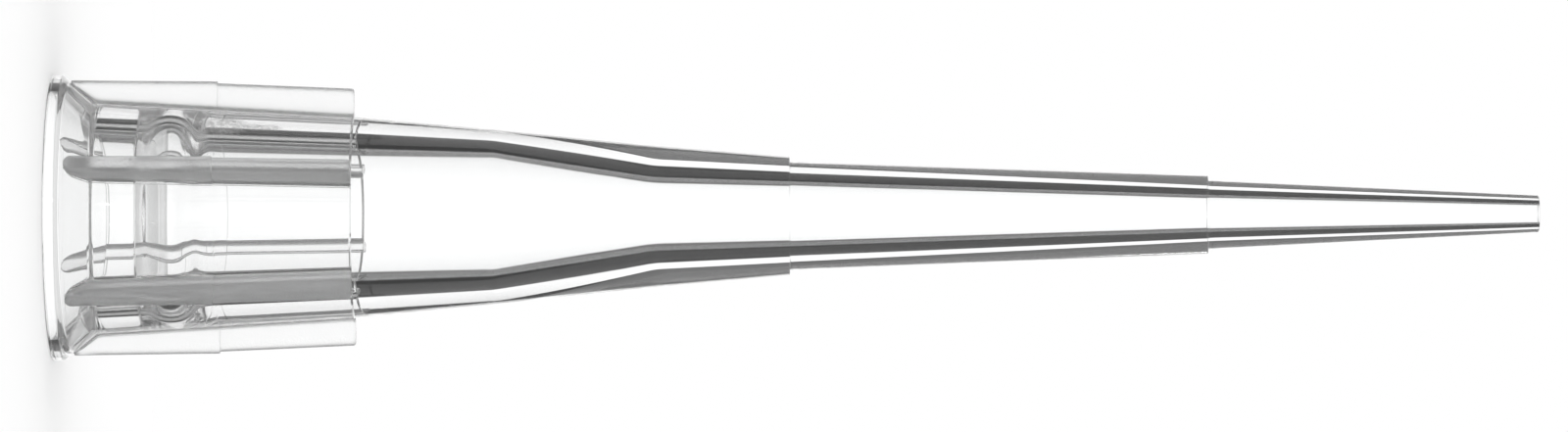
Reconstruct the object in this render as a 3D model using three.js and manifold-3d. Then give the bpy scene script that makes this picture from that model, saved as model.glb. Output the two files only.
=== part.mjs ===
// Graduated 10 microlitre pipette tip, injection moulded in clear polypropylene as one piece.
// Millimetres, +Z up. The tip stands on its mouth: the origin is the centre of the mouth plane,
// and the axis runs up to the fine end. Where a named size is a wall, the outside follows the bore.

import * as THREE from 'three';
import { mergeVertices } from 'three/addons/utils/BufferGeometryUtils.js';
import Module from 'manifold-3d';

// Lengths of the stretches along the axis, from the mouth up
const collarHeight = 0.27;      // upright ring round the mouth
const flareHeight = 0.71;       // cone from the collar down to the hub
const hubLength = 5.32;         // ribbed hub, above the flare
const neckLength = 2.88;        // plain stretch above the ribs
const shoulderLength = 3.33;    // where the bore closes in quickly
const upperBarrelLength = 2.86; // up to the first graduation
const lowerBarrelLength = 8.72; // between the two graduations
const pointLength = 6.91;       // from the second graduation to the fine end

// Bore radii
const mouthBoreRadius = 2.46;
const nozzleBoreRadius = 1.67;  // grips the pipette's nozzle
const hubBoreRadius = 1.49;     // just past the sealing groove
const neckBoreRadius = 1.30;
const shoulderBoreRadius = 0.78;
const lowerBoreRadius = 0.39;
const orificeRadius = 0.215;

// Walls
const rimWidth = 0.515;         // flat of the mouth rim
const nozzleWall = 0.75;
const hubWall = 0.70;
const neckWall = 0.525;
const shoulderWall = 0.70;
const barrelWall = 0.55;
const lowerBarrelWall = 0.43;
const lipWall = 0.17;
const graduationLedge = 0.10;   // each graduation is a step this deep in the outside

// Mouth and sealing features inside
const mouthLandHeight = 0.29;   // short straight land behind the rim
const leadInHeight = 0.61;      // cone that guides the nozzle in, beside the flare
const leadInLedge = 0.25;       // flat stop between the cone and the nozzle bore
const nozzleBoreLength = 0.94;  // from the ledge to the sealing groove
const grooveLength = 1.37;      // round groove that a seal on the nozzle springs into
const grooveDepth = 0.22;

// Ribs
const ribCount = 6;
const ribThickness = 0.36;
const ribFillet = 0.10;         // at the root, on both sides
const ribStart = 0.14;          // where the rounded nose of a rib begins, above the collar
const ribStartProud = 0.43;     // how far the rib stands out of the hub's own taper
const ribStepProud = 0.585;
const ribEndProud = 0.60;
const ribStepHeight = 3.49;     // parting step in the ribs' outer edges
const ribStep = 0.037;
const ribCorner = 0.06;

// Small edges
const rimEdge = 0.04;
const collarEdge = 0.04;
const ledgeChamfer = 0.02;
const lipEdge = 0.03;

// The long core pin bends in the mould, which leaves the bore off centre towards the mouth
const coreShift = 0.037;
const coreShiftAngle = 173.5;   // degrees about +Z

// Facets and cutting margins
const segments = 72;
const arcSteps = 10;
const filletSteps = 3;
const noseSteps = 8;
const cutMargin = 0.5;          // how far a cutting solid runs past what it cuts
const ribSink = 0.3;            // how deep a rib's root is buried in the wall
const mergeTolerance = 1e-5;

// Heights of the stations between the stretches
const flareBase = collarHeight;
const hubBase = flareBase + flareHeight;
const neckBase = hubBase + hubLength;
const shoulderBase = neckBase + neckLength;
const barrelBase = shoulderBase + shoulderLength;
const lowerBarrelBase = barrelBase + upperBarrelLength;
const pointBase = lowerBarrelBase + lowerBarrelLength;
const tipTop = pointBase + pointLength;

// Heights inside the mouth
const ledgeBase = mouthLandHeight + leadInHeight;
const grooveBase = ledgeBase + nozzleBoreLength;
const grooveTop = grooveBase + grooveLength;

const wasm = await Module();
wasm.setup();

function mix(from, to, share) {
  return from + (to - from) * share;
}

// Bore radius at the end of the hub, on the straight taper from the groove to the shoulder
const hubEndBoreRadius = mix(
  hubBoreRadius,
  neckBoreRadius,
  (neckBase - grooveTop) / (shoulderBase - grooveTop),
);

// Outer radii at the stations
const collarRadius = mouthBoreRadius + rimWidth;
const hubRadius = nozzleBoreRadius + nozzleWall;
const hubEndRadius = hubEndBoreRadius + hubWall;
const neckRadius = neckBoreRadius + neckWall;
const shoulderRadius = shoulderBoreRadius + shoulderWall;
const barrelBoreRadius = mix(
  shoulderBoreRadius,
  lowerBoreRadius,
  upperBarrelLength / (upperBarrelLength + lowerBarrelLength),
);
const barrelRadius = barrelBoreRadius + barrelWall;
const lowerBarrelRadius = lowerBoreRadius + lowerBarrelWall;
const lipRadius = orificeRadius + lipWall;

function at(radius, height) {
  return new THREE.Vector2(radius, height);
}

// Outer radius of the hub at a height, also past its two ends
function hubRadiusAt(height) {
  return mix(hubRadius, hubEndRadius, (height - hubBase) / hubLength);
}

function solidOf(geometry) {
  geometry.deleteAttribute('normal');
  geometry.deleteAttribute('uv');
  const merged = mergeVertices(geometry, mergeTolerance);
  const corners = merged.index.array;
  const triangles = [];
  for (let i = 0; i < corners.length; i += 3) {
    const [a, b, c] = corners.slice(i, i + 3);
    if (a !== b && b !== c && c !== a) triangles.push(a, b, c);
  }
  return new wasm.Manifold(new wasm.Mesh({
    numProp: 3,
    vertProperties: new Float32Array(merged.attributes.position.array),
    triVerts: new Uint32Array(triangles),
  }));
}

function geometryOf(solid) {
  const mesh = solid.getMesh();
  const geometry = new THREE.BufferGeometry();
  geometry.setAttribute('position', new THREE.BufferAttribute(mesh.vertProperties, 3));
  geometry.setIndex(new THREE.BufferAttribute(mesh.triVerts, 1));
  geometry.computeVertexNormals();
  return geometry;
}

// A profile of radius and height turned about the Z axis; it starts and ends on the axis
function turned(profile) {
  return new THREE.LatheGeometry(profile, segments).rotateX(Math.PI / 2);
}

// Points of a shallow arc between two points of a profile, bulging outwards by the given depth
function arcPoints(from, to, depth) {
  const points = [];
  for (let i = 1; i < arcSteps; i += 1) {
    const share = i / arcSteps;
    const bulge = depth * Math.sin(Math.PI * share);
    points.push(at(mix(from.x, to.x, share) + bulge, mix(from.y, to.y, share)));
  }
  return points;
}

function outside() {
  const profile = [
    at(0, 0),
    at(collarRadius - rimEdge, 0),
    at(collarRadius, rimEdge),
    at(collarRadius, flareBase - collarEdge),
    at(collarRadius - collarEdge, flareBase),
    at(hubRadius, hubBase),
    at(hubEndRadius, neckBase),
    at(neckRadius, shoulderBase),
    at(shoulderRadius, barrelBase),
    at(barrelRadius, lowerBarrelBase - ledgeChamfer / 2),
    at(barrelRadius - graduationLedge, lowerBarrelBase + ledgeChamfer / 2),
    at(lowerBarrelRadius, pointBase - ledgeChamfer / 2),
    at(lowerBarrelRadius - graduationLedge, pointBase + ledgeChamfer / 2),
    at(lipRadius, tipTop - lipEdge),
    at(lipRadius - lipEdge, tipTop),
    at(0, tipTop),
  ];
  return solidOf(turned(profile));
}

// The space inside: land, lead-in, nozzle bore, sealing groove and the long taper
function bore() {
  const leadInRadius = nozzleBoreRadius + leadInLedge;
  const grooveStart = at(nozzleBoreRadius, grooveBase);
  const grooveEnd = at(hubBoreRadius, grooveTop);
  const profile = [
    at(0, -cutMargin),
    at(mouthBoreRadius, -cutMargin),
    at(mouthBoreRadius, mouthLandHeight),
    at(leadInRadius, ledgeBase),
    at(nozzleBoreRadius, ledgeBase),
    grooveStart,
    ...arcPoints(grooveStart, grooveEnd, grooveDepth),
    grooveEnd,
    at(neckBoreRadius, shoulderBase),
    at(shoulderBoreRadius, barrelBase),
    at(lowerBoreRadius, pointBase),
    at(orificeRadius, tipTop),
    at(orificeRadius, tipTop + cutMargin),
    at(0, tipTop + cutMargin),
  ];
  return solidOf(bentCore(turned(profile)));
}

// Moves each level of the bore off the axis as a pin held at the mouth and at the fine end bends
function bentCore(geometry) {
  const angle = THREE.MathUtils.degToRad(coreShiftAngle);
  const places = geometry.attributes.position;
  for (let i = 0; i < places.count; i += 1) {
    const share = THREE.MathUtils.clamp(places.getZ(i) / tipTop, 0, 1);
    const shift = coreShift * (1 - share ** 3);
    places.setX(i, places.getX(i) + shift * Math.cos(angle));
    places.setY(i, places.getY(i) + shift * Math.sin(angle));
  }
  return geometry;
}

// Section of a rib's blade: x runs out from the hub's surface, y across the rib
function bladeSection() {
  const half = ribThickness / 2;
  const top = Math.max(ribStartProud, ribStepProud, ribEndProud) + cutMargin;
  const section = new THREE.Shape();
  section.moveTo(-ribSink, -half);
  section.lineTo(top, -half);
  section.lineTo(top, half);
  section.lineTo(-ribSink, half);
  section.closePath();
  return section;
}

// Section of a rib's root, with a fillet on both sides
function rootSection() {
  const half = ribThickness / 2;
  const section = new THREE.Shape();
  section.moveTo(-ribSink, -half - ribFillet);
  section.lineTo(0, -half - ribFillet);
  section.absarc(ribFillet, -half - ribFillet, ribFillet, Math.PI, Math.PI / 2, true);
  section.lineTo(ribFillet, half);
  section.absarc(ribFillet, half + ribFillet, ribFillet, -Math.PI / 2, -Math.PI, true);
  section.lineTo(-ribSink, half + ribFillet);
  section.closePath();
  return section;
}

// A bar up the hub from a height, whose section follows the hub's taper
function taperedBar(section, base) {
  const bar = new THREE.ExtrudeGeometry(section, {
    depth: neckBase - base,
    bevelEnabled: false,
    curveSegments: filletSteps,
  });
  bar.translate(0, 0, base);
  const places = bar.attributes.position;
  for (let i = 0; i < places.count; i += 1) {
    places.setX(i, places.getX(i) + hubRadiusAt(places.getZ(i)));
  }
  return solidOf(bar);
}

// A rib's outline seen from outside, run through the hub's wall: it starts as a half-round nose
function ribOutline() {
  const half = ribThickness / 2;
  const noseCentre = flareBase + ribStart + half;
  const outline = new THREE.Shape();
  outline.moveTo(-noseCentre, half);
  outline.absarc(-noseCentre, 0, half, Math.PI / 2, -Math.PI / 2, true);
  outline.lineTo(-neckBase, -half);
  outline.lineTo(-neckBase, half);
  outline.closePath();
  const plate = new THREE.ExtrudeGeometry(outline, {
    depth: collarRadius + cutMargin,
    bevelEnabled: false,
    curveSegments: noseSteps,
  });
  return solidOf(plate.rotateY(Math.PI / 2));
}

// One rib along +X; its root fillets start inside the flare
function rib() {
  const nose = flareBase + ribStart;
  const blade = taperedBar(bladeSection(), nose).intersect(ribOutline()).intersect(ribEnvelope());
  return blade.add(taperedBar(rootSection(), nose + ribThickness / 2));
}

// The turned form that the ribs' outer edges lie on
function ribEnvelope() {
  const base = flareBase + ribStart;
  const startRadius = hubRadiusAt(base) + ribStartProud;
  const stepRadius = hubRadiusAt(ribStepHeight) + ribStepProud;
  const endRadius = hubEndRadius + ribEndProud;
  const profile = [
    at(0, base - cutMargin),
    at(startRadius, base - cutMargin),
    at(startRadius, base),
    at(stepRadius, ribStepHeight),
    at(stepRadius - ribStep, ribStepHeight + ribStep),
    at(endRadius, neckBase - ribCorner),
    at(endRadius - ribCorner, neckBase),
    at(0, neckBase),
  ];
  return solidOf(turned(profile));
}

function ribs() {
  const first = rib();
  return Array.from({ length: ribCount }, (_, i) => first.rotate([0, 0, 360 * i / ribCount]));
}

function pipetteTipSolid() {
  const ribbed = ribs().reduce((body, next) => body.add(next), outside());
  return ribbed.subtract(bore());
}

const clearPolypropylene = new THREE.MeshStandardMaterial({
  color: '#e8ecec',
  roughness: 0.12,
  metalness: 0,
  transparent: true,
  opacity: 0.4,
});

const pipetteTip = new THREE.Mesh(geometryOf(pipetteTipSolid()), clearPolypropylene);
pipetteTip.name = 'pipette_tip';

const part = new THREE.Group();
part.add(pipetteTip);

export default part;
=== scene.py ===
import math

import bpy
from mathutils import Matrix, Vector


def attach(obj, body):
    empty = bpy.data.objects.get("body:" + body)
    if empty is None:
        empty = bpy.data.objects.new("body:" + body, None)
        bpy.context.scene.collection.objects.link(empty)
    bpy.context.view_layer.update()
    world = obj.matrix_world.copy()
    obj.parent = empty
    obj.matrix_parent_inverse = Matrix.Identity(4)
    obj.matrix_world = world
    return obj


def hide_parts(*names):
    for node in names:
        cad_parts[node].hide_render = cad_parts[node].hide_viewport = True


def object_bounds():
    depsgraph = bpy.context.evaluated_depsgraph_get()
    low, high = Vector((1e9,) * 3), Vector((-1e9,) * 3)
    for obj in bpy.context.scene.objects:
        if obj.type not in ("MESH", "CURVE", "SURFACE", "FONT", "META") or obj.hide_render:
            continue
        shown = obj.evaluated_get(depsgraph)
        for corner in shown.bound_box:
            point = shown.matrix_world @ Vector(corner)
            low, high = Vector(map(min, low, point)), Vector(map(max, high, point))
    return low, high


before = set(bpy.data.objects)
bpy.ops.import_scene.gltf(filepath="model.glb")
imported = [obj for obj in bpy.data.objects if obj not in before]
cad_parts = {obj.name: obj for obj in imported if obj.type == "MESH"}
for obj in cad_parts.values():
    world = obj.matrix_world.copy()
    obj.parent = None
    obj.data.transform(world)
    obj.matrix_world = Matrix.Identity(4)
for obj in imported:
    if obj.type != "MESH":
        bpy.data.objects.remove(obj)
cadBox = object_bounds()
print("frame loaded")

mm = 0.001
tipHeight = cadBox[1].z - cadBox[0].z
collarRadius = (cadBox[1].x - cadBox[0].x) / 2

# the tip's outside, in millimetres
form = {
    "collarHeight": 0.27,
    "collarEdge": 0.04,
    "collarRounding": 0.02,
    "rimRounding": 0.04,
    "flareTop": 0.91,
    "flareRounding": 0.05,
    "hubTop": 6.30,
    "neckTop": 9.18,
    "shoulderTop": 12.51,
    "firstGraduation": 15.37,
    "secondGraduation": 24.09,
    "hubRadius": 2.42,
    "hubEndRadius": 2.095,
    "neckRadius": 1.825,
    "shoulderRadius": 1.48,
    "barrelRadius": 1.233,
    "lowerBarrelRadius": 0.82,
    "ledge": 0.10,
    "edge": 0.006,
    "stationRounding": 0.2,  # where two slopes of the wall meet
    "rimJoin": 0.15,  # where the outside and the bore meet on the rim, in from the collar's edge
    "lipRadius": 0.385,
    "lipRounding": 0.03,
    # where mould parts meet: height, proudness, width
    "seams": [(3.46, 0.005, 0.02), (6.255, 0.03, 0.05)],
    "sharpAngle": math.radians(42),
}

boreForm = {
    "edge": 0.03,  # rounding of the edges inside the mouth
    "mouthRadius": 2.60,
    "landHeight": 0.21,
    "leadInTop": 0.90,
    "leadInRadius": 1.92,
    "ledgeRun": 0.02,
    "nozzleRadius": 1.67,
    "nozzleTaper": 0.035,
    "creases": [(1.80, 0.012)],  # height and depth of the fine marks round the bore
    "creaseWidth": 0.03,
    "grooveStart": 1.885,
    "grooveRadius": 1.83,
    "grooveEnd": 3.21,
    "grooveSoftness": 0.165,
    "softSteps": 6,
    "grooveSteps": 28,
    "taperSupport": 0.03,
    "archFlat": 2.0,
    "archLean": 0.80,
    "hubRadius": 1.49,
    "neckRadius": 1.30,
    "shoulderRadius": 0.78,
    "lowerRadius": 0.39,
    "orificeRadius": 0.215,
    "stationRounding": 0.15,
    "orificeRounding": 0.02,
    "coreShift": 0.037,  # the bore sits off centre at the mouth, as if the long core pin had bent
    "coreShiftAngle": math.radians(173.5),
    "coreShiftFade": 3,  # the power at which it dies out towards the fine end
}

ribForm = {
    "count": 6,
    "halfThickness": 0.18,
    "fillet": 0.10,
    "corner": 0.11,
    "start": 0.41,
    "startRadius": 2.884,
    "stepHeight": 3.45,
    "stepRadius": 2.851,
    "step": 0.037,
    "stepRun": 0.012,
    "sideStep": 0.012,
    "endRadius": 2.695,
    "endCorner": 0.06,
    "endSteps": 4,
    "noseSteps": 8,
    "noseTip": 0.02,  # half the thickness where the nose begins
    "mostOfHeight": 0.4,  # a fillet or a corner takes no more than this share of the rib's height
    "mostOfWidth": 0.8,
    "flatGrain": 0.2,  # how deep the texture is on the flat sides, against the rounded edges
}

# points across half of one sector, from the middle of a rib to the middle of the gap beside it
sector = {"top": 3, "corner": 4, "side": 3, "fillet": 5, "gap": 15, "rootAngle": math.radians(8.0)}


def mix(a, b, share):
    return a + (b - a) * share


def lerpTable(points, z):
    # never used past its ends
    for (z0, r0), (z1, r1) in zip(points, points[1:]):
        if z <= z1:
            return mix(r0, r1, (z - z0) / (z1 - z0)) if z1 > z0 else r1
    return points[-1][1]


curve = {
    "steps": 5,
    "largeSteps": 15,
    "large": 0.2,  # roundings from this size up get the larger number of steps
    "longest": 0.42,  # how much of a stretch a rounding may take
    "support": 0.12,  # a point beyond each end of the curve, as a share of its reach
}


def roundedLine(corners):
    # corners: (z, r, rounding)
    points = []
    last = len(corners) - 1
    for i, (z, r, rounding) in enumerate(corners):
        here = Vector((z, r))
        if i in (0, last) or rounding <= 0:
            points.append(here)
            continue
        before = Vector(corners[i - 1][:2]) - here
        after = Vector(corners[i + 1][:2]) - here
        reach = min(rounding, before.length * curve["longest"], after.length * curve["longest"])
        start = here + before.normalized() * reach
        end = here + after.normalized() * reach
        support = reach * curve["support"]
        points.append(start + before.normalized() * support)
        count = curve["steps"] if rounding < curve["large"] else curve["largeSteps"]
        for k in range(count + 1):
            t = k / count
            points.append(start * (1 - t) ** 2 + here * 2 * t * (1 - t) + end * t * t)
        points.append(end + after.normalized() * support)
    return points


def seamRing(height, proud, width):
    # a thread of flash round the hub, on a wall that keeps its slope on both sides
    f = form
    wall = [
        (f["flareTop"], f["hubRadius"]),
        (f["hubTop"], f["hubEndRadius"]),
        (f["neckTop"], f["neckRadius"]),
    ]
    line = []
    for share, rise in ((-1, 0), (0, 0), (0.5, proud), (1, 0), (2, 0)):
        z = height + share * width
        line.append((z, lerpTable(wall, z) + rise, 0))
    return line


def outsideLine():
    f = form
    collar, edge = collarRadius / mm, f["edge"]
    corners = [
        (0.0, collar - f["rimJoin"], 0),
        (0.0, collar, f["rimRounding"]),
        (f["collarHeight"] - f["collarEdge"], collar, f["collarRounding"]),
        (f["collarHeight"], collar - f["collarEdge"], f["collarRounding"]),
        (f["flareTop"], f["hubRadius"], f["flareRounding"]),
        *seamRing(*f["seams"][0]),
        *seamRing(*f["seams"][1]),
        (f["neckTop"], f["neckRadius"], f["stationRounding"]),
        (f["shoulderTop"], f["shoulderRadius"], f["stationRounding"]),
        (f["firstGraduation"], f["barrelRadius"], edge),
        (f["firstGraduation"], f["barrelRadius"] - f["ledge"], edge),
        (f["secondGraduation"], f["lowerBarrelRadius"], edge),
        (f["secondGraduation"], f["lowerBarrelRadius"] - f["ledge"], edge),
        (tipHeight / mm, f["lipRadius"], f["lipRounding"]),
        (tipHeight / mm, (f["lipRadius"] + boreForm["orificeRadius"]) / 2, 0),
    ]
    return [(p.x, p.y) for p in roundedLine(corners)]


def grooveRadiusAt(z):
    # an arch between the nozzle bore and the hub bore
    b = boreForm
    share = (z - b["grooveStart"]) / (b["grooveEnd"] - b["grooveStart"])
    if share <= 0:
        towardLedge = (b["grooveStart"] - z) / (b["grooveStart"] - b["leadInTop"])
        return b["nozzleRadius"] + b["nozzleTaper"] * towardLedge
    if share >= 1:
        return b["hubRadius"]
    arch = 1 - abs(2 * share ** b["archLean"] - 1) ** b["archFlat"]
    return mix(mix(b["nozzleRadius"], b["hubRadius"], share), b["grooveRadius"], arch)


def boreLine():
    b = boreForm
    soft, count, steps = b["grooveSoftness"], b["softSteps"], b["grooveSteps"]
    groove = []
    low, high = b["grooveStart"] - soft, b["grooveEnd"] + soft
    heights = [mix(low, high, k / steps) for k in range(steps + 1)]
    heights += [at + b["creaseWidth"] * n / 2 for at, deep in b["creases"] for n in (-1, 0, 1)]
    for z in sorted(heights):
        nearby = [grooveRadiusAt(z + soft * n / count) for n in range(-count, count + 1)]
        crease = max(deep * max(1 - abs(z - at) / b["creaseWidth"] * 2, 0) for at, deep in b["creases"])
        groove.append((z, sum(nearby) / len(nearby) - crease, 0))
    # one more point on the long taper, so that its slope starts at once
    z, r = groove[-1][:2]
    near = b["taperSupport"]
    groove.append((z + near, mix(r, b["neckRadius"], near / (form["neckTop"] - z)), 0))
    corners = [
        (0.0, collarRadius / mm - form["rimJoin"], 0),
        (0.0, b["mouthRadius"], b["edge"]),
        (b["landHeight"], b["mouthRadius"], b["edge"]),
        (b["leadInTop"], b["leadInRadius"], b["edge"]),
        (b["leadInTop"] + b["ledgeRun"], b["nozzleRadius"] + b["nozzleTaper"], b["edge"]),
        *groove,
        (form["neckTop"], b["neckRadius"], b["stationRounding"]),
        (form["shoulderTop"], b["shoulderRadius"], b["stationRounding"]),
        (form["secondGraduation"], b["lowerRadius"], b["stationRounding"]),
        (tipHeight / mm, b["orificeRadius"], b["orificeRounding"]),
        (tipHeight / mm, (form["lipRadius"] + b["orificeRadius"]) / 2, 0),
    ]
    return [(p.x, p.y) for p in roundedLine(corners)]


def ribEdgeLine():
    # height and radius of a rib's outer edge
    r = ribForm
    line = [
        (r["start"], r["startRadius"]),
        (r["stepHeight"], r["stepRadius"]),
        (r["stepHeight"] + r["stepRun"], r["stepRadius"] - r["step"]),
    ]
    for k in range(r["endSteps"] + 1):
        turn = math.pi / 2 * k / r["endSteps"]
        height = form["hubTop"] - r["endCorner"] * (1 - math.sin(turn))
        line.append((height, r["endRadius"] - r["endCorner"] * (1 - math.cos(turn))))
    return line


def circleAngles():
    # angles of the points of half a sector where there is no rib
    ribPoints = sector["top"] + sector["corner"] + sector["side"] + sector["fillet"]
    half = math.pi / ribForm["count"]
    angles = [sector["rootAngle"] * k / ribPoints for k in range(ribPoints)]
    angles += [mix(sector["rootAngle"], half, k / sector["gap"]) for k in range(sector["gap"] + 1)]
    return angles


def ribWidthAt(z):
    # the rib starts as a half-round nose
    w = ribForm["halfThickness"]
    if z > ribForm["stepHeight"] + ribForm["stepRun"] / 2:
        return w - ribForm["sideStep"]
    run = min(max(z - ribForm["start"], 0), w)
    return max(math.sqrt(w * w - (w - run) ** 2), ribForm["noseTip"])


def ribHalf(hub, edge, w):
    # outline of half a rib and half the gap beside it; x runs out along the rib
    proud = edge - hub
    most = proud * ribForm["mostOfHeight"]
    fillet = min(ribForm["fillet"], most)
    corner = min(ribForm["corner"], most, w * ribForm["mostOfWidth"])
    points = []
    for k in range(sector["top"]):
        y = (w - corner) * k / sector["top"]
        points.append((math.sqrt(edge * edge - y * y), y))
    topX = math.sqrt(edge * edge - (w - corner) ** 2)
    for k in range(sector["corner"]):
        turn = math.pi / 2 * k / sector["corner"]
        points.append((topX - corner * (1 - math.cos(turn)), w - corner + corner * math.sin(turn)))
    reach = hub + fillet
    centre = (math.sqrt(reach * reach - (w + fillet) ** 2), w + fillet)
    sideTop = topX - corner
    for k in range(sector["side"]):
        points.append((mix(sideTop, centre[0], k / sector["side"]), w))
    rootAngle = math.atan2(centre[1], centre[0])
    sweep = math.pi / 2 - rootAngle
    for k in range(sector["fillet"]):
        turn = -math.pi / 2 - sweep * k / sector["fillet"]
        points.append((centre[0] + fillet * math.cos(turn), centre[1] + fillet * math.sin(turn)))
    half = math.pi / ribForm["count"]
    for k in range(sector["gap"] + 1):
        angle = mix(rootAngle, half, k / sector["gap"])
        points.append((hub * math.cos(angle), hub * math.sin(angle)))
    return points


def wholeRing(half):
    # mirrors the half outline and repeats it for every rib
    whole = [(x, -y) for x, y in reversed(half[1:-1])] + half
    ring = []
    for k in range(ribForm["count"]):
        turn = 2 * math.pi * k / ribForm["count"]
        c, s = math.cos(turn), math.sin(turn)
        ring += [(x * c - y * s, x * s + y * c) for x, y in whole]
    return ring


def plainRing(radius, shift=(0.0, 0.0)):
    half = [(radius * math.cos(a), radius * math.sin(a)) for a in circleAngles()]
    return [(x + shift[0], y + shift[1]) for x, y in wholeRing(half)]


def coreShiftAt(z):
    share = min(max(z * mm / tipHeight, 0), 1)
    shift = boreForm["coreShift"] * (1 - share ** boreForm["coreShiftFade"])
    angle = boreForm["coreShiftAngle"]
    return (shift * math.cos(angle), shift * math.sin(angle))


def skinRings():
    # every ring of the closed skin: up the outside from the rim, over the lip and down the bore
    outside = outsideLine()
    ribEdge = ribEdgeLine()
    start, top = ribForm["start"], form["hubTop"]
    rings = []
    below = [(z, r) for z, r in outside if z < start]
    within = [(z, r) for z, r in outside if start <= z <= top]
    above = [(z, r) for z, r in outside if z > top]
    wallAt = [below[-1]] + within + [above[0]]
    w, steps = ribForm["halfThickness"], ribForm["noseSteps"]
    nose = [start + w * (1 - math.cos(math.pi / 2 * k / steps)) for k in range(steps + 1)]
    levels = sorted({round(z, 5) for z in [z for z, _ in within + ribEdge] + nose} | {start, top})
    rings += [(z, plainRing(r)) for z, r in below]
    rings.append((start, plainRing(lerpTable(wallAt, start))))
    ribbed = []
    for z in levels:
        hub = lerpTable(wallAt, z)
        ribbed.append((z, wholeRing(ribHalf(hub, lerpTable(ribEdge, z), ribWidthAt(z)))))
    rings += ribbed
    rings.append((top, plainRing(lerpTable(wallAt, top))))
    rings += [(z, plainRing(r)) for z, r in above]
    ribSpan = (len(below) + 1, len(below) + 1 + len(ribbed))
    bore = boreLine()[1:-1]
    rings += [(z, plainRing(r, coreShiftAt(z))) for z, r in reversed(bore)]
    return rings, ribSpan


def tipMesh():
    rings, ribSpan = skinRings()
    count = len(rings[0][1])
    verts = [(x * mm, y * mm, z * mm) for z, ring in rings for x, y in ring]
    faces = []
    for i in range(len(rings)):
        a, b = i * count, (i + 1) % len(rings) * count
        for k in range(count):
            n = (k + 1) % count
            faces.append((a + k, a + n, b + n, b + k))
    mesh = bpy.data.meshes.new("clear_tip")
    mesh.from_pydata(verts, [], faces)
    mesh.validate()
    mesh.polygons.foreach_set("use_smooth", [True] * len(mesh.polygons))
    # ribs carry a fine grain, deeper on their rounded edges; the rest of the mouth end is satin
    ribPoints = sector["top"] + sector["corner"] + sector["side"] + sector["fillet"] // 2
    cornerEnd = sector["top"] + sector["corner"]
    sideEnd = cornerEnd + sector["side"]
    span = count // ribForm["count"]
    middle = span // 2 - 1
    spark, satin, coarse = [0.0] * len(verts), [0.0] * len(verts), [0.0] * len(verts)
    for i in range(ribSpan[1]):
        for k in range(count):
            aside = abs(k % span - middle)
            onRib = i >= ribSpan[0] and aside <= ribPoints
            rounded = aside <= cornerEnd or aside > sideEnd
            spark[i * count + k] = 1.0 if onRib else 0.0
            satin[i * count + k] = 0.0 if onRib else 1.0
            coarse[i * count + k] = 1.0 if onRib and rounded else ribForm["flatGrain"]
    for name, values in (("sparkFinish", spark), ("satinFinish", satin), ("edgeFinish", coarse)):
        mesh.attributes.new(name, "FLOAT", "POINT").data.foreach_set("value", values)
    mesh.set_sharp_from_angle(angle=form["sharpAngle"])
    mesh.update()
    return mesh


clearTip = bpy.data.objects.new("clear_tip", tipMesh())
bpy.context.scene.collection.objects.link(clearTip)
print("tip skin", len(clearTip.data.polygons), "faces")


class Wire:
    # a shader socket that can be written in sums
    def __init__(self, tree, socket):
        self.tree, self.socket = tree, socket

    def math(self, operation, other=None, swap=False):
        values = [self] if other is None else [other, self] if swap else [self, other]
        return self.tree.node("ShaderNodeMath", {"operation": operation}, values)

    def __add__(self, other):
        return self.math("ADD", other)

    def __sub__(self, other):
        return self.math("SUBTRACT", other)

    def __rsub__(self, other):
        return self.math("SUBTRACT", other, swap=True)

    def __mul__(self, other):
        return self.math("MULTIPLY", other)

    def __truediv__(self, other):
        return self.math("DIVIDE", other)

    def __rtruediv__(self, other):
        return self.math("DIVIDE", other, swap=True)

    __radd__ = __add__
    __rmul__ = __mul__


class Tree:
    def __init__(self, owner):
        owner.use_nodes = True
        self.nodes, self.links = owner.node_tree.nodes, owner.node_tree.links
        self.nodes.clear()

    def node(self, kind, settings=None, values=(), output=0):
        made = self.nodes.new(kind)
        for name, value in (settings or {}).items():
            if name == "stops":
                self.setStops(made.color_ramp, value)
            else:
                setattr(made, name, value)
        pairs = values.items() if isinstance(values, dict) else enumerate(values)
        for key, value in pairs:
            if isinstance(value, Wire):
                self.links.new(value.socket, made.inputs[key])
            else:
                made.inputs[key].default_value = value
        return Wire(self, made.outputs[output]) if made.outputs else None

    def setStops(self, ramp, stops):
        while len(ramp.elements) < len(stops):
            ramp.elements.new(1.0)
        for element, (place, level) in zip(ramp.elements, stops):
            element.position = place
            element.color = (level, level, level, 1)


plastic = {
    "colour": (0.985, 0.988, 0.988, 1),
    "ior": 1.49,
    "polishedRoughness": 0.0,
    "sparkRoughness": 0.55,
    "sparkShare": 0.8,  # how much of the ribs' skin is frosted
    "satinColour": (0.45, 0.45, 0.45, 1),
    "satinShare": 0.07,  # how much of the hub's skin scatters light
    "grainSize": 0.05 * mm,
    "grainDetail": 3.0,
    "grainDepth": 0.012 * mm,
    # a scuff beside one rib: angle round the tip, height, half width and half length
    "scuffs": [
        (math.radians(205.0), 3.64 * mm, 0.38 * mm, 0.47 * mm),
        (math.radians(205.7), 4.36 * mm, 0.13 * mm, 0.52 * mm),
    ],
    "scuffColour": (0.33, 0.33, 0.33, 1),
    "scuffShare": 0.85,
    "scuffGrain": 0.09 * mm,
    "scuffDetail": 4.0,
    "scuffEdge": (0.8, 1.05),
    "scuffSpeckle": (0.35, 0.7),
    "scuffThinnest": 0.3,
    "scuffRagged": 1.6,
    "scuffInside": 1.95 * mm,  # the scuff is only on skin that is further out than this
}


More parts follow.
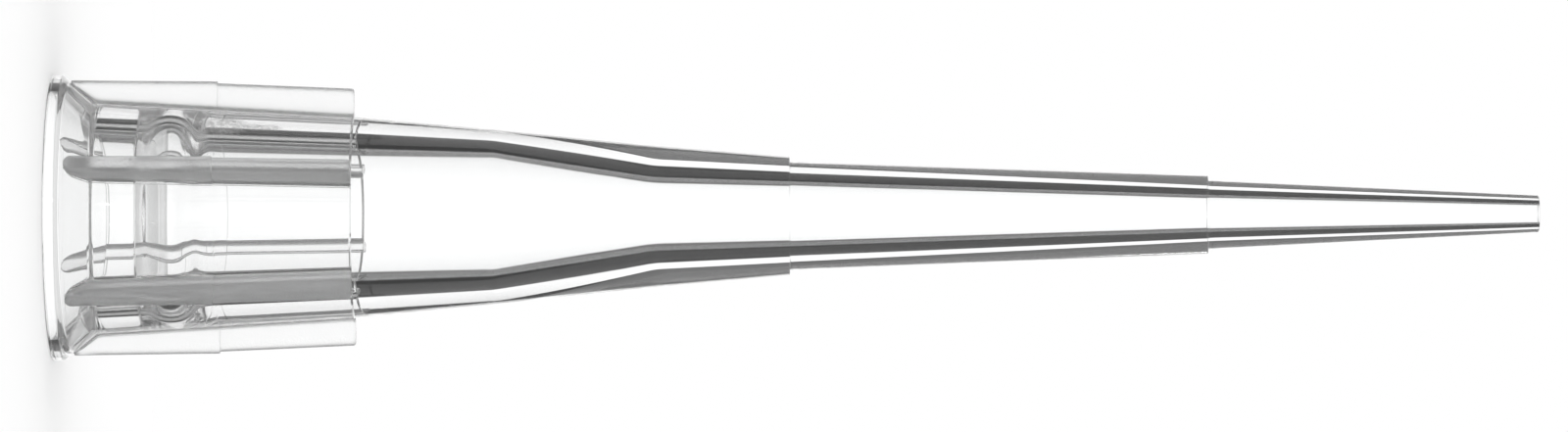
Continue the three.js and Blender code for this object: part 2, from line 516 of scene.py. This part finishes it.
def clearPolypropylene():
    material = bpy.data.materials.new("clear_polypropylene")
    tree = Tree(material)
    place = tree.node("ShaderNodeTexCoord", output="Object")

    def finish(name):
        return tree.node("ShaderNodeAttribute", {"attribute_name": name}, output="Fac")

    def grain(size, detail):
        return tree.node("ShaderNodeTexNoise", {}, {"Vector": place, "Scale": 1 / size, "Detail": detail})

    spark, satin, coarse = finish("sparkFinish"), finish("satinFinish"), finish("edgeFinish")
    pits = grain(plastic["grainSize"], plastic["grainDetail"])
    pitted = {"Height": spark * coarse * pits, "Strength": 1.0, "Distance": plastic["grainDepth"]}
    bump = tree.node("ShaderNodeBump", {}, pitted)

    # the scuff is where a noisy distance from its middle is short
    split = tree.node("ShaderNodeSeparateXYZ", values=[place])
    x, y, z = (Wire(tree, socket) for socket in split.socket.node.outputs)
    outer = (x * x + y * y).math("SQRT").math("GREATER_THAN", plastic["scuffInside"])
    rough = grain(plastic["scuffGrain"], plastic["scuffDetail"])
    scuffed = None
    for angle, height, halfWidth, halfLength in plastic["scuffs"]:
        aside = (y * math.cos(angle) - x * math.sin(angle)) / halfWidth
        facing = (x * math.cos(angle) + y * math.sin(angle)).math("GREATER_THAN", 0.0)
        along = (z - height) / halfLength
        away = (aside * aside + along * along).math("SQRT") + (rough - 0.5) * plastic["scuffRagged"]
        patch = tree.node("ShaderNodeMapRange", {}, [away, *plastic["scuffEdge"], 1.0, 0.0])
        patch = patch * facing * outer
        scuffed = patch if scuffed is None else scuffed.math("MAXIMUM", patch)

    def skin(roughness, clear=1.0, colour=plastic["colour"]):
        return tree.node("ShaderNodeBsdfPrincipled", {}, {
            "Base Color": colour,
            "Roughness": roughness,
            "IOR": plastic["ior"],
            "Transmission Weight": clear,
            "Normal": bump,
        })

    polished = skin(plastic["polishedRoughness"])
    frosted = skin(plastic["sparkRoughness"])
    scattering = skin(1.0, 0.0, plastic["satinColour"])
    shader = tree.node("ShaderNodeMixShader", {}, [spark * plastic["sparkShare"], polished, frosted])
    shader = tree.node("ShaderNodeMixShader", {}, [satin * plastic["satinShare"], shader, scattering])
    scuff = skin(1.0, 0.0, plastic["scuffColour"])
    speckle = [rough, *plastic["scuffSpeckle"], plastic["scuffThinnest"], 1.0]
    speckled = scuffed * tree.node("ShaderNodeMapRange", {}, speckle) * plastic["scuffShare"]
    shader = tree.node("ShaderNodeMixShader", {}, [speckled, shader, scuff])
    tree.node("ShaderNodeOutputMaterial", values={"Surface": shader})
    return material


clearTip.data.materials.append(clearPolypropylene())
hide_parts("pipette_tip")
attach(clearTip, "root")
print("clear polypropylene ready")

view = {
    "azimuth": math.radians(263.5),  # where the camera stands round the tip
    "distance": 190 * mm,
    "height": 15.25 * mm,
    "roll": math.radians(0.17),
    "lens": 209.0,
    "sensor": 36.0,
    "clip": (0.01, 10),
}


def sideCamera():
    data = bpy.data.cameras.new("side_camera")
    data.lens, data.sensor_width, data.sensor_fit = view["lens"], view["sensor"], "HORIZONTAL"
    data.clip_start, data.clip_end = view["clip"]
    camera = bpy.data.objects.new("side_camera", data)
    bpy.context.scene.collection.objects.link(camera)
    back = Vector((math.cos(view["azimuth"]), math.sin(view["azimuth"]), 0))
    axis = Vector((0, 0, 1))
    sideways = back.cross(axis)
    right = axis * math.cos(view["roll"]) - sideways * math.sin(view["roll"])
    up = axis * math.sin(view["roll"]) + sideways * math.cos(view["roll"])
    turn = Matrix((right, up, back)).transposed()
    place = back * view["distance"] + axis * view["height"]
    camera.matrix_world = Matrix.Translation(place) @ turn.to_4x4()
    bpy.context.scene.camera = camera
    return -back


forward = sideCamera()
print("camera ready")

studio = {
    "panelLevel": 1.15,
    "panelEdge": (0.94, 1.06),
    "panelTurn": 25.8,  # half width of the panel behind the tip and its reach up and down, in degrees
    "panelRise": 32.0,
    "panelDrop": 28.0,
    # how bright the cards and walls are, by degrees round from the middle of the panel
    "sideLevels": [
        (0, 0.10), (28, 0.10), (36, 0.07), (55, 0.045),
        (78, 0.05), (100, 0.12), (140, 0.8), (180, 1.5),
    ],
    "steepLevel": 0.35,  # above and below, from one steepness to the other
    "steepness": (15.0, 45.0),
    # for rays that only pass through: how much lighter the cards are, and where they end,
    # round and downwards
    "cardLift": 0.10,
    "openTurn": (76.0, 84.0),
    "openDrop": (12.5, 15.0),
    # how bright the bench in front of the panel looks through the tip, by degrees below level
    "benchTones": [
        (0, 1.0), (10.4, 1.0), (11.6, 0.53), (16.5, 0.62),
        (21.5, 0.78), (27, 0.68), (40, 1.0),
    ],
    # a small lamp beside the camera: degrees to its side, above level, and half its width
    "lampAside": 14.0,
    "lampRise": -4.6,
    "lampSpread": 2.0,
    "lampCore": 0.7,  # the share of its width that is fully bright
    "lampLevel": 9.0,
    "bounces": 32,
}


def studioWorld():
    world = bpy.data.worlds.new("studio")
    bpy.context.scene.world = world
    tree = Tree(world)
    direction = tree.node("ShaderNodeTexCoord", output="Generated")
    split = tree.node("ShaderNodeSeparateXYZ", values=[direction])
    x, y, z = (Wire(tree, socket) for socket in split.socket.node.outputs)
    flat = (x * x + y * y).math("SQRT")
    turn = ((x * forward.x + y * forward.y) / flat).math("ARCCOSINE") * (180 / math.pi)
    rise = z.math("ARCSINE") * (180 / math.pi)
    drop = 0 - rise

    def ramp(value, start, end, low=0.0, high=1.0):
        smooth = {"interpolation_type": "SMOOTHSTEP"}
        return tree.node("ShaderNodeMapRange", smooth, [value, start, end, low, high])

    def blend(share, first, second):
        # 6 and 7 are the colour inputs of a Mix node, 2 is its colour output
        ends = {"Factor": share, 6: first, 7: second}
        return tree.node("ShaderNodeMix", {"data_type": "RGBA"}, ends, output=2)

    def add(first, second):
        return tree.node("ShaderNodeVectorMath", {"operation": "ADD"}, [first, second])

    def tones(steps, widest, angle):
        stops = [(at / widest, tone) for at, tone in steps]
        return tree.node("ShaderNodeValToRGB", {"stops": stops}, {"Fac": angle / widest})

    above = rise.math("MAXIMUM", 0.0) / studio["panelRise"]
    below = rise.math("MINIMUM", 0.0) / studio["panelDrop"]
    across = turn / studio["panelTurn"]
    away = (across * across + above * above + below * below).math("SQRT")
    panel = ramp(away, *studio["panelEdge"], 1.0, 0.0)
    side = tones(studio["sideLevels"], 180, turn)
    steep = ramp(rise.math("ABSOLUTE"), *studio["steepness"])
    level = blend(steep, side, (*[studio["steepLevel"]] * 3, 1))
    # rays that only pass through see bright walls further round and further down, but still see the
    # dark cards beside and above the panel
    path = tree.node("ShaderNodeLightPath").socket.node
    ray = {socket.name: Wire(tree, socket) for socket in path.outputs}
    straight = 1 - ray["Glossy Depth"].math("MINIMUM", 1.0)
    level = add(level, straight * studio["cardLift"])
    walls = ramp(turn, *studio["openTurn"]).math("MAXIMUM", ramp(drop, *studio["openDrop"]))
    bright = panel.math("MAXIMUM", straight * walls)
    bench = tones(studio["benchTones"], 90, drop)
    shade = (1 - straight * (1 - bench)) * studio["panelLevel"]
    level = blend(bright, level, shade)
    aside, up = math.radians(studio["lampAside"]), math.radians(studio["lampRise"])
    upward = Vector((0, 0, 1))
    lamp = -forward * math.cos(aside) + upward.cross(forward) * math.sin(aside)
    lamp = lamp * math.cos(up) + upward * math.sin(up)
    dot = {"operation": "DOT_PRODUCT"}
    toward = tree.node("ShaderNodeVectorMath", dot, [direction, tuple(lamp)], output="Value")
    spread = math.radians(studio["lampSpread"])
    glow = ramp(toward, math.cos(spread), math.cos(spread * studio["lampCore"]))
    glow = glow * (1 - straight) * studio["lampLevel"]
    level = add(level, glow)
    # the background, and what matt surfaces see, is plain white
    plain = (ray["Is Camera Ray"] + ray["Diffuse Depth"]).math("MINIMUM", 1.0)
    colour = blend(plain, level, (1, 1, 1, 1))
    background = tree.node("ShaderNodeBackground", values={"Color": colour, "Strength": 1.0})
    tree.node("ShaderNodeOutputWorld", values={"Surface": background})


floorForm = {"radius": 30 * mm, "sides": 96, "gap": 0.002 * mm, "colour": (1, 1, 1, 1)}


def paleFloor():
    radius, sides = floorForm["radius"], floorForm["sides"]
    mesh = bpy.data.meshes.new("floor")
    turns = [2 * math.pi * k / sides for k in range(sides)]
    edge = [(radius * math.cos(t), radius * math.sin(t), 0) for t in turns]
    mesh.from_pydata(edge, [], [list(range(sides))])
    floor = bpy.data.objects.new("floor", mesh)
    floor.location.z = -floorForm["gap"]
    bpy.context.scene.collection.objects.link(floor)
    material = bpy.data.materials.new("pale_floor")
    tree = Tree(material)
    # light that has bounced inside the tip passes the floor by
    path = tree.node("ShaderNodeLightPath").socket.node
    bounced = Wire(tree, path.outputs["Glossy Depth"]).math("MINIMUM", 1.0)
    pale = tree.node("ShaderNodeBsdfDiffuse", values={"Color": floorForm["colour"]})
    shader = tree.node("ShaderNodeMixShader", {}, [bounced, pale, tree.node("ShaderNodeBsdfTransparent")])
    tree.node("ShaderNodeOutputMaterial", values={"Surface": shader})
    mesh.materials.append(material)
    floor.visible_transmission = False


paleFloor()
print("floor ready")
studioWorld()
bpy.context.scene.view_settings.view_transform = "Standard"
print("studio ready")

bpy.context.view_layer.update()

# light has to get out of the wall again after many bounces, or it ends in black
cycles = bpy.context.scene.cycles
cycles.max_bounces = studio["bounces"]
cycles.glossy_bounces = studio["bounces"]
cycles.transmission_bounces = studio["bounces"]
